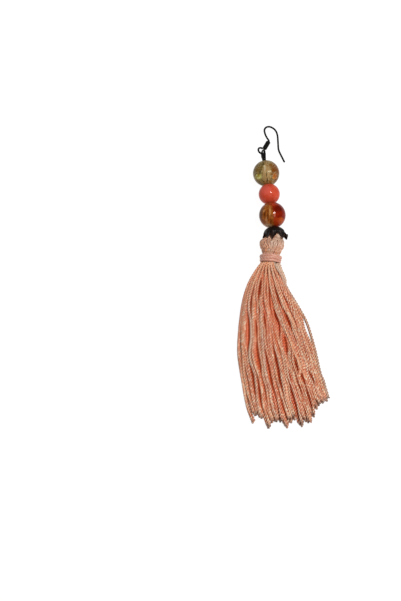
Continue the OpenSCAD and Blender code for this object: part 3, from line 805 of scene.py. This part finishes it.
def cord_rings(lines, up, thickness, phase, pitch=PLY_PITCH, groove=PLY_GROOVE, painted_groove_shade=1.0):
    """Three-ply cords: nine points round, three to a ply. The first of each three lies in the groove between
    two plies, at a share of the radius, and all turn once round the cord in each pitch of its length. With
    them comes the shade painted at each point: the given share in a groove, and more towards the
    underside, where less light falls."""
    angles = (phase[..., None, None] + np.arange(9) * 2 * np.pi / 9
              - 2 * np.pi * length_run(lines)[..., None] / np.asarray(pitch)[..., None])
    grooved = np.tile([1.0, 0, 0], 3)
    radius = thickness[..., None] / 2 * (1 - (1 - np.asarray(groove)[..., None]) * grooved)
    # painted shade: the given share in each groove, and more on the side facing down
    shaded = np.maximum(painted_groove_shade * grooved, 0.95 * smooth(-np.sin(angles), -0.85, 0.2))
    return rings_round(lines, up, radius, angles), shaded


FIBRES_ROUND = 46.0


def cord_fibres(finish, along):
    """Fine fibres that run along a cord: a noise on the cord's own map, of so many grains round it and the
    given number to each millimetre of its length."""
    cord_map = finish.node("ShaderNodeUVMap", {"uv_map": "along"}, {})
    spread = finish.node("ShaderNodeVectorMath", {"operation": "MULTIPLY"},
                         {0: cord_map, 1: (FIBRES_ROUND, along, 1.0)})
    return finish.node("ShaderNodeTexNoise", {}, {"Vector": spread, "Scale": 1.0, "Detail": 3.0})


peach = Finish("peach_viscose_cord")
# the depth mark is painted shade and a painted glow, stronger the deeper a place lies in the fringe
# the groove mark is painted shade, in the grooves between plies and towards each cord's underside
tone, groove, inner = peach.mark("tone"), peach.mark("groove"), peach.mark("inner")
frayed, flecked = peach.mark("frayed"), peach.mark("flecked")
fibres = cord_fibres(peach, 1.1)
patches = peach.noise(5.0, 3.0)
cord_tone = peach.ramp(
    tone,
    (0.0, shade(230, 120, 68)), (0.35, shade(244, 144, 88)), (0.6, shade(250, 168, 112)),
    (0.85, shade(241, 186, 156)), (1.0, shade(229, 198, 173)),
)
patched = peach.mix(peach.rise(patches, 0.4, 0.7) * 0.3, cord_tone, shade(232, 144, 104))
fibrous = peach.mix(peach.rise(fibres, 0.35, 0.7) * 0.55, patched, shade(255, 230, 196))
# painted glints: one noise gives small pale cream spots that stand for glints of light, and at its other end
# darker specks; the glint and speck mark sets their strength
glint_and_speck_noise = peach.noise(0.62, 2.0, None, (1, 1.3, 1))
dulled = peach.mix(peach.rise(glint_and_speck_noise, 0.47, 0.36) * 0.5 * flecked, fibrous, shade(206, 98, 56))
painted_glints = peach.mix(peach.rise(glint_and_speck_noise, 0.51, 0.62) * 0.8 * flecked, dulled, shade(255, 240, 206))
# painted shade: dark red-brown as far as the groove mark goes
grooved = peach.mix(groove * 0.92, painted_glints, shade(134, 42, 18))
# painted shade: deeper places made darker and redder
sunk = peach.mix(inner * 0.9, grooved, shade(244, 156, 108), "MULTIPLY")
peach.surface(
    # greyer where the greying mark is high: at the tips, on the stray cord and a little on the tail
    Base_Color=peach.mix(frayed, sunk, shade(156, 140, 125)),
    Roughness=0.34,
    Specular_IOR_Level=0.65,
    # painted glow: deep places give off a faint red light, though they are no lamp
    Emission_Color=peach.mix(inner, (0.0, 0.0, 0.0, 1.0), shade(196, 76, 34)),
    Emission_Strength=0.2,
    Normal=peach.bump(fibres, 0.05, 0.9),
)

HEAD_CORDS = 26
HEAD_STATIONS = 90
# shares of the head's length where its cords and its core start and end
CORDS_REACH = (0.14, 0.95)
CORE_REACH = (0.12, 1.08)
CORE_INSET = 0.8
# how much thicker a cord is than its share of the girth, and the thinnest and thickest there are
HEAD_CROWD = 1.15
HEAD_CORD = (0.8, 1.25)
# how far round the head a cord leans, and by how much it wanders and stands proud
HEAD_TWIST = 0.28
HEAD_WANDER = 0.05
HEAD_PROUD = 0.14
CROSSING_CORD = 0.95
CROSSING_CORDS = [
    # angle where it starts and ends, how much sooner than the first it crosses, turn of the plies
    (0.75, 1.75, 0.0, 0.2), (0.55, 1.5, 0.03, 0.5), (0.95, 1.9, -0.03, 0.8),
]
cords_drawn = np.random.default_rng(7)
head_share = np.linspace(*CORDS_REACH, HEAD_STATIONS)[None]
head_wave = cords_drawn.uniform(-1, 1, (4, HEAD_CORDS, 1))
head_angle = (2 * np.pi * (np.arange(HEAD_CORDS)[:, None] + 0.15 * head_wave[0]) / HEAD_CORDS
              + HEAD_TWIST * (head_share - 0.5)
              + HEAD_WANDER * head_wave[1] * np.sin(7 * head_share + 3 * head_wave[2]))
head_girth = 2 * np.pi * (eased(head_table, 4, head_share) + eased(head_table, 5, head_share)) / 2
head_thick = np.clip(HEAD_CROWD * head_girth / HEAD_CORDS, *HEAD_CORD) + 0 * head_angle
head_inset = 0.5 * head_thick + HEAD_PROUD * head_wave[3]
cross_from, cross_to, cross_sooner, cross_phase = np.transpose(CROSSING_CORDS)[..., None]
crossing = cross_from + (cross_to - cross_from) * smooth(head_share + cross_sooner, 0.22, 0.72)
raised = 0.45 * np.sin(np.pi * np.clip((head_share - 0.1) / 0.6, 0, 1))
head_angle = np.concatenate([head_angle, crossing])
head_thick = np.concatenate([head_thick, CROSSING_CORD + 0 * crossing])
head_inset = np.concatenate([head_inset, 0.5 - raised + 0 * crossing])
head_lines = head_place(head_share + 0 * head_angle, head_angle, head_inset)
head_out = unit(head_lines - head_place(head_share + 0 * head_angle, head_angle, 2.5))
head_right = np.cos(head_angle[:, :1]) * np.maximum(np.sin(head_angle[:, :1]), -0.2)
head_pale = np.append(head_wave[0], np.ones((len(CROSSING_CORDS), 1)), 0)
head_tone = np.clip(0.80 - 0.3 * smooth(head_share, 0.5, 0.85) + 0.15 * head_pale
                    + 0.3 * smooth(head_right, 0.1, 0.6), 0, 1)
head_phase = 3 * np.append(head_wave[1], cross_phase)
head_rings, head_shaded = cord_rings(head_lines, head_out, head_thick, head_phase,
                                     pitch=5.5, groove=0.78, painted_groove_shade=0.5)
head = make_piece(
    "tassel_head", head_rings, peach, run=length_run(head_lines),
    marks={
        "tone": head_tone[..., None],
        # painted shade in the grooves and towards the cords' undersides, over an even darkening of the head
        "groove": 0.24 + 0.76 * head_shaded,
        "inner": 0.0,
        "flecked": 0.25,
        "frayed": 0.0,
    },
)
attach(head, "root")
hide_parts("tassel")

core_share = np.linspace(*CORE_REACH, 60)[:, None]
core_angle = np.linspace(0, 2 * np.pi, 48, endpoint=False)[None]
core = make_piece(
    "tassel_core", head_place(core_share + 0 * core_angle, core_angle + 0 * core_share, CORE_INSET), peach,
    run=core_share.T * HEAD_LENGTH,
    # painted shade: the whole core is darkened, as it lies under the cords
    marks={"tone": 0.85, "groove": 0.6, "inner": 0.0, "flecked": 0.25, "frayed": 0.0},
)
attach(core, "root")


# Wrap.
# A cord of the same viscose, dyed a little redder, is wound three times round the neck and tucked in. A pale
# tail of four strands comes out below it on the right and lies along the edge of the fringe.

WRAP_TURNS = 3
WRAP_CORD = 1.25
WRAP_PITCH = 1.22
WRAP_SHIFT = 0.3
WRAP_RADIUS = 3.3
WRAP_BULGE = 0.28
WRAP_TUCK = 0.45
WRAP_SLANT = 0.12
WRAP_UNEVEN = 0.08

redder = Finish("coral_viscose_cord")
wrap_fibres = cord_fibres(redder, 0.9)
wrap_tone = redder.mix(redder.rise(wrap_fibres, 0.35, 0.7), shade(206, 126, 102), shade(252, 206, 182))
redder.surface(
    # painted shade: dark red-brown in the grooves and on the underside of each turn
    Base_Color=redder.mix(redder.mark("groove") * 0.95, wrap_tone, shade(146, 62, 42)),
    Roughness=0.42,
    Specular_IOR_Level=0.5,
    Normal=redder.bump(wrap_fibres, 0.03, 0.7),
)


def neck_round(along, angle, radius):
    """Places round the neck: its middle, plus the radius times the cosine sideways and the sine upward."""
    pitch, yaw = np.radians(NECK_PITCH), np.radians(NECK_YAW)
    side = np.array([np.cos(yaw), -np.sin(yaw), 0])
    top = np.array([-np.sin(yaw) * np.sin(pitch), -np.cos(yaw) * np.sin(pitch), np.cos(pitch)])
    return (neck_axis(along) + np.multiply.outer(radius * np.cos(angle), side)
            + np.multiply.outer(radius * np.sin(angle), top))


wrap_share = np.linspace(0, 1, WRAP_TURNS * 130)
wrap_angle = 2 * np.pi * (WRAP_TURNS - 0.1) * wrap_share - np.pi / 2
wrap_tuck = WRAP_TUCK * (1 - smooth(np.minimum(wrap_share, 1 - wrap_share), 0, 0.04))
wrap_along = (WRAP_PITCH * (WRAP_TURNS - 1) * (wrap_share - 0.5) + WRAP_SHIFT
              + WRAP_SLANT * np.sin(wrap_angle + 2) + WRAP_UNEVEN * np.sin(2.3 * wrap_angle))
wrap_bulge = WRAP_BULGE * np.exp(-((wrap_along + 0.2) / 0.9) ** 2)
wrap_off = WRAP_RADIUS - wrap_tuck + wrap_bulge + WRAP_UNEVEN * np.sin(1.7 * wrap_angle + 1)
wrap_line = neck_round(wrap_along, wrap_angle, wrap_off)
wrap_out = unit(wrap_line - neck_axis(wrap_along))
wrap_thick = np.full((1, len(wrap_share)), WRAP_CORD)
wrap_rings, wrap_shaded = cord_rings(wrap_line[None], wrap_out[None], wrap_thick, np.zeros(1),
                                     pitch=3.6, groove=0.86, painted_groove_shade=0.4)
wrap = make_piece("neck_wrap_cord", wrap_rings, redder, run=length_run(wrap_line)[None],
                  # painted shade in the grooves and towards the underside of the wrap cord
                  marks={"groove": 0.55 * wrap_shaded + 0.45 * wrap_shaded**3})
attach(wrap, "root")
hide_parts("neck_wrap")

TAIL_CORD = 1.15
TAIL_SWAY = 0.35
TAIL_ROWS = np.array([
    # share of the tail, place in millimetres
    (0.00, -1.10, -36.20, 3.3), (0.16, -0.60, -37.70, 3.8), (0.38, 0.35, -39.80, 3.9),
    (0.60, 1.05, -42.10, 3.6), (0.80, 1.00, -44.40, 3.3), (1.00, 1.15, -46.60, 2.9),
])
TAIL_STRANDS = np.array([
    # how much of the sway, how far from the tail's own line, turn of the plies
    (1.0, 0.00, 0.0, 0.0, 0.0), (0.4, -0.65, -0.2, 0.3, 1.4), (0.6, -1.30, -0.4, 0.4, 2.2),
    (0.0, -0.90, -0.1, -0.5, 0.7),
])
tail_share = np.linspace(0, 1, 110)
tail_line = np.stack([eased(TAIL_ROWS, column, tail_share) for column in (1, 2, 3)], -1)
tail_sway = TAIL_SWAY * np.sin(9 * tail_share)[:, None] * [1, 0, 0]
tail_lines = tail_line + TAIL_STRANDS[:, :1, None] * tail_sway + TAIL_STRANDS[:, None, 1:4]
tail_thick = TAIL_CORD * (0.5 + 0.5 * smooth(1 - tail_share, 0.0, 0.15)) + np.zeros((len(TAIL_STRANDS), 1))
tail_rings, tail_shaded = cord_rings(tail_lines, [0.3, 0, 1.0], tail_thick, TAIL_STRANDS[:, 4])
tail = make_piece(
    "neck_wrap_tail", tail_rings, peach, run=length_run(tail_lines),
    # painted shade in the grooves and towards the strands' undersides
    marks={"tone": 0.97, "groove": 0.5 * tail_shaded, "inner": 0.0, "flecked": 0.4, "frayed": 0.06},
)
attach(tail, "root")


# Fringe.
# The cords run on below the wrap, spread and lie down on the table in three layers. They are cut by hand, so
# that their ends are ragged, and each turns a little greyer at its tip.

FRINGE_LENGTH = 66.5
FRINGE_WIDTH = 30
FRINGE_SPREAD = (FRINGE_WIDTH - NECK) / 2
FRINGE_HEIGHT = 4.4
FRINGE_ROOT = np.array([-3.26, -37.275, 3.634])
INNER_RADIUS = NECK / 2 - 0.08
CROWN_POWER = 2.4
CROWN_BLUNT = 0.93
EDGE_HIGH = 0.5
SQUARE_BY = 0.3
FRINGE_ROWS = [
    # share of the length, shares of the spread on each side, share of the fall in height, settled
    (0.00, 0.00, 0.00, 0.00, 0.00), (0.06, 0.27, 0.14, 0.15, 0.35), (0.14, 0.57, 0.18, 0.45, 0.75),
    (0.25, 0.84, 0.42, 0.75, 1.00), (0.38, 1.02, 0.66, 0.95, 1.00), (0.53, 1.15, 0.78, 1.00, 1.00),
    (0.69, 1.14, 0.84, 1.05, 1.00), (0.85, 1.10, 0.97, 1.15, 1.00), (1.00, 0.96, 1.02, 1.30, 1.00),
]
REACH = [
    # place across, how far the longest cords reach there as a share of the length
    (-1.00, 0.962), (-0.87, 0.915), (-0.75, 0.935), (-0.62, 0.998), (-0.50, 0.966), (-0.30, 0.972),
    (-0.18, 1.000), (-0.07, 0.978), (0.05, 0.960), (0.20, 1.005), (0.31, 0.980), (0.40, 1.006),
    (0.53, 0.958), (0.60, 0.918), (0.75, 0.894), (0.88, 0.880), (0.99, 0.864),
]
# places across where the tips draw together in tufts
TUFTS = np.array([
    -0.97, -0.86, -0.74, -0.62, -0.51, -0.40, -0.29, -0.18, -0.07,
    0.06, 0.20, 0.31, 0.41, 0.53, 0.64, 0.75, 0.87, 0.98,
])


def fringe_place(at, across, rise, half):
    """Places in the fringe from shares of its length, width and height. The width runs between the edges
    and the height from the underside to the crown, a flattened round, both less half a cord all round.
    Near the neck the places are moved along the fringe, so that they stand square to the neck, and above
    its start they run back up the neck inside the wrap."""
    inside_wrap = np.minimum(at, 0)
    at = np.maximum(at, 0)
    left = FRINGE_ROOT[0] - INNER_RADIUS - FRINGE_SPREAD * eased(FRINGE_ROWS, 1, at)
    right_edge = FRINGE_ROOT[0] + INNER_RADIUS + FRINGE_SPREAD * eased(FRINGE_ROWS, 2, at)
    settled = np.minimum(eased(FRINGE_ROWS, 4, at), 1)
    crown = (1 - (np.minimum(np.abs(across), 1) * CROWN_BLUNT) ** CROWN_POWER) ** (1 / CROWN_POWER)
    bundle = NECK - (NECK - FRINGE_HEIGHT) * eased(FRINGE_ROWS, 3, at)
    neck_high = INNER_RADIUS * np.cos(np.radians(NECK_PITCH)) * crown
    under = (1 - settled) * (FRINGE_ROOT[2] - neck_high)
    over = ((1 - settled) * (FRINGE_ROOT[2] + neck_high)
            + settled * np.maximum(bundle * crown, FRINGE_HEIGHT * EDGE_HIGH))
    x = (left + right_edge) / 2 + across * ((right_edge - left) / 2 - half)
    z = under + half + rise * np.maximum(over - under - 2 * half, 0)
    square = np.clip(1 - at / SQUARE_BY, 0, None)
    shear = ((x - FRINGE_ROOT[0]) * np.tan(np.radians(NECK_YAW))
             + (z - FRINGE_ROOT[2]) * np.tan(np.radians(NECK_PITCH))) * square
    places = np.stack([x, FRINGE_ROOT[1] - FRINGE_LENGTH * at - shear, z], -1)
    return places + FRINGE_LENGTH * inside_wrap[..., None] * (neck_axis(1) - neck_axis(0))


PARTINGS = [
    # shares of the length where it starts and ends, shares of the width there, and how wide it opens
    (0.06, 0.27, -0.29, -0.43, 0.070), (0.25, 0.34, -0.36, -0.38, 0.030), (0.14, 0.25, 0.12, 0.08, 0.020),
    (0.13, 0.56, -0.03, 0.29, 0.060), (0.28, 0.45, 0.45, 0.49, 0.050), (0.25, 0.58, -0.68, -0.82, 0.068),
    (0.42, 0.72, -0.59, -0.45, 0.050), (0.28, 0.42, -0.20, -0.24, 0.030), (0.46, 0.84, -0.08, -0.01, 0.035),
    (0.64, 0.77, 0.20, 0.18, 0.025), (0.67, 0.78, 0.42, 0.58, 0.035), (0.65, 0.80, 0.68, 0.79, 0.040),
    (0.66, 0.90, -0.68, -0.66, 0.024), (0.66, 0.92, -0.54, -0.52, 0.020), (0.10, 0.28, -0.04, -0.10, 0.030),
    (0.12, 0.30, 0.30, 0.36, 0.030), (0.30, 0.48, 0.62, 0.70, 0.030), (0.42, 0.60, 0.15, 0.32, 0.040),
    (0.50, 0.80, -0.31, -0.26, 0.030), (0.55, 0.72, 0.35, 0.47, 0.040), (0.56, 0.86, -0.84, -0.88, 0.026),
    (0.76, 0.96, 0.10, 0.12, 0.026), (0.74, 0.96, -0.36, -0.35, 0.024), (0.76, 0.96, 0.48, 0.54, 0.026),
    (0.10, 0.34, -0.62, -0.76, 0.034), (0.32, 0.62, -0.91, -0.93, 0.030), (0.30, 0.48, -0.53, -0.51, 0.036),
    (0.54, 0.88, -0.76, -0.75, 0.040), (0.62, 0.92, -0.93, -0.93, 0.026), (0.16, 0.40, 0.56, 0.66, 0.030),
]
# the share of a parting over which each end tapers, and how far across its push is felt
PARTING_END = 0.42
PARTING_PUSH = 0.16
# where one cord strays from the right edge and the others keep clear of it, by how much of the width, and
# the place across from which they give way
STRAY_START = 0.30
STRAY_END = 0.53
STRAY_GAP = 0.105
STRAY_FROM = 0.6
CORD = 1.08
FRINGE_STATIONS = 285
# how far across the cords on top have swept to the right, at shares of the length
SWEEP = [(0.24, 0.0), (0.35, 0.05), (0.45, 0.15), (0.50, 0.20), (0.70, 0.40), (0.80, 0.48), (1.00, 0.56)]
NECK_SHARE = 0.74
# places across of the outermost cords, and how far past the edge they spread near their tips
OUTERMOST = 0.985
FLARE = 0.12
# how far across the cords wander in slow and in quick waves, and how far they fan out
SLOW_WANDER = 0.018
QUICK_WANDER = 0.006
FAN_OUT = 0.03
# how much shorter a cord is by how far it lies off its tuft's middle, and the millimetres a tuft is drawn in
TUFT_POINT = 0.25
TUFT_DRAWN = 12.0
# how deep each cord of four starts below the others, and the share of the height that the upper ones reach
RANKS = np.array([0, 2, 1, 3])
RANK_DEEP = 0.24
TOP_RISE = 0.94
# how much redder the cords are on the right, how much paler the stray one, and how much greyer the tips
RIGHT_REDDER = 0.24
STRAY_PALER = 0.6
TIP_GREYING = 0.8


def parted(across, at, partings, wider):
    """Cords pushed aside by the partings: each by the opening times how near it is, to the side of the
    parting on which it lies halfway along. The opening rises from nothing at each end to its full width."""
    moved = across.copy()
    for start, end, start_across, end_across, opening in partings:
        share = np.clip((at - start) / (end - start), 0, 1)
        away = across - (start_across + (end_across - start_across) * share)
        halfway = np.abs(at - (start + end) / 2).argmin(-1)[:, None]
        side = np.sign(np.take_along_axis(away, halfway, -1))
        width = opening * smooth(np.minimum(share, 1 - share), 0, PARTING_END)
        moved += wider * width * side * np.exp(-np.abs(away) / PARTING_PUSH)
    return moved


def fringe_layer(name, count, size, shorter, rise, tone, swept, seed):
    """One layer of the fringe. Each cord keeps its place across, and wanders a little in waves that grow
    from the neck, where the cords crowd to the left. Of each four cords, three come up from below the first
    as the fringe widens. At the end they draw together in tufts, each longest in its middle. The deeper a
    place lies below the crown, the more red shade and faint red glow are painted on it."""
    wave = np.random.default_rng(seed).uniform(-1, 1, (10, count, 1))
    upper = rise > 0.5

    # places across at the start and the end, the length, and the millimetres that are left to the tip
    start = np.linspace(-OUTERMOST, OUTERMOST, count)[:, None] + 0.4 / count * wave[0]
    moving = swept * smooth(start, -0.15, 0.08) * (1 - smooth(start, 0.1, 1))
    end = start + moving * SWEEP[-1][1] + 0.02 * wave[6]
    tuft = TUFTS[np.abs(end[..., None] - TUFTS).argmin(-1)]
    length = (np.interp(tuft, *np.transpose(REACH)) - TUFT_POINT * np.abs(end - tuft)
              - shorter * (0.5 + 0.5 * wave[1]))
    at = np.linspace(-0.02, 1, FRINGE_STATIONS)[None] * length
    tip = (1 - at / length) * FRINGE_LENGTH
    grown = smooth(at, 0.03, 0.35)

    # places across all along: wandering, swept, drawn into tufts, parted, and crowded at the neck
    across = start + grown * (SLOW_WANDER * wave[2] * np.sin(5 * at + 4 * wave[3])
                              + QUICK_WANDER * wave[4] * np.sin(13 * at + 6 * wave[5])
                              + FAN_OUT * wave[6] * at)
    sweep = moving * np.interp(at, *np.transpose(SWEEP))
    across = across + sweep
    across = across + (0.4 + 0.2 * wave[3]) * (tuft - across) * (1 - smooth(tip, 0.0, TUFT_DRAWN))
    if upper:
        across = parted(across, at, PARTINGS, 1.1 + 0.15 * swept)
    stray_share = np.clip((at - STRAY_START) / (STRAY_END - STRAY_START), 0, 1)
    most = 0.97 - STRAY_GAP * np.sin(np.pi * stray_share) ** 1.5
    alone = swept * (start > 0.95)
    across = np.clip(across, -1, 1 + FLARE * smooth(at, 0.70, 0.84))
    cleared = STRAY_FROM + (across - STRAY_FROM) * (most - STRAY_FROM) / (1 - STRAY_FROM)
    across = np.where((across > STRAY_FROM) & (alone < 0.5), cleared, across)
    crowded = -1 + (across + 1) * NECK_SHARE
    across = crowded + (across - crowded) * smooth(at, 0.0, 0.15)

    # heights: each cord of four starts at its own depth, and where the upper cords are swept aside the next
    # ones come to the top
    rank = RANKS[np.arange(count) % len(RANKS)][:, None]
    sunk = RANK_DEEP * rank * (1 - smooth(at, 0.02 + 0.03 * rank, 0.10 + 0.08 * rank))
    sunk = sunk + 0.8 * (rank > 1.5) * sweep + 0.10 * (rank % 2) * grown
    bared = (1 - swept) * smooth(at, 0.38, 0.62) * smooth(start, -0.25, 0.0) * (1 - smooth(start, 0.45, 0.8))
    rolling = 0.05 * grown * (wave[7] + np.sin(9 * at + 5 * wave[8]))
    height = np.clip(rise + (TOP_RISE - rise) * upper * bared + rolling - sunk, 0, 1.02)

    # thickness, twist and how deep the grooves are: a cord swells a little and loosens just before its tip
    thick = size * (0.86 + 0.14 * smooth(at, 0.0, 0.22)) * (1 + 0.06 * wave[9])
    thick = thick * (0.45 + 0.55 * smooth(tip, 0.0, 1.2)) * (1 + 0.12 * np.exp(-(((tip - 1.6) / 0.8) ** 2)))
    opened = PLY_GROOVE + 0.25 * (not upper) - 0.28 * (1 - smooth(tip, 0.3, 2.2))
    pitch = PLY_PITCH * (1.12 + 0.12 * wave[2])
    lines = fringe_place(at, across, height, thick / 2)
    rings, shaded = cord_rings(lines, [0, 0, 1.0], thick, 3 * wave[5, :, 0], pitch, opened)

    # painted shade and glow: by depth below the crown, kept off the edges, the tips and the neck
    crown = fringe_place(at, across, 1.0, 0.0 * at)[..., 2:]
    depth_shade_reach = (1 - smooth(np.abs(across), 0.78, 0.97)) * smooth(tip, 0.5, 7.0) * smooth(at, -0.05, 0.25)
    dyed = (tone - RIGHT_REDDER * smooth(across, 0.3, 0.8) + (0.2 + 0.2 * smooth(at, 0.08, 0.3)) * wave[1]
            + 0.1 * np.sin(8 * at + 5 * wave[6]) + STRAY_PALER * alone)
    grey_tips = TIP_GREYING * (1 - smooth(tip, 0.3, 1.6)) * (0.6 + 0.4 * wave[4])
    piece = make_piece(
        name, rings, peach, run=length_run(lines),
        marks={
            "tone": np.clip(dyed, 0, 1)[..., None],
            # painted shade in the grooves and towards the cords' undersides, less near the neck
            "groove": shaded * (1 - 0.55 * (1 - smooth(at, 0.0, 0.26)))[..., None],
            "inner": smooth(crown - rings[..., 2], 0.3, 1.25) * depth_shade_reach[..., None],
            # painted glints and darker specks, fainter near the neck
            "flecked": (0.3 + 0.7 * smooth(at, 0.02, 0.32))[..., None],
            "frayed": np.maximum(0.3 * alone, grey_tips)[..., None],
        },
    )
    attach(piece, "root")
    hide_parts("tassel")


fringe_layer("fringe_top", 29, 1.05 * CORD, shorter=0.025, rise=0.96, tone=0.5, swept=1.0, seed=11)
fringe_layer("fringe_middle", 37, CORD, shorter=0.010, rise=0.72, tone=0.4, swept=0.0, seed=12)
fringe_layer("fringe_bottom", 38, 1.45 * CORD, shorter=0.014, rise=0.15, tone=0.4, swept=0.0, seed=13)
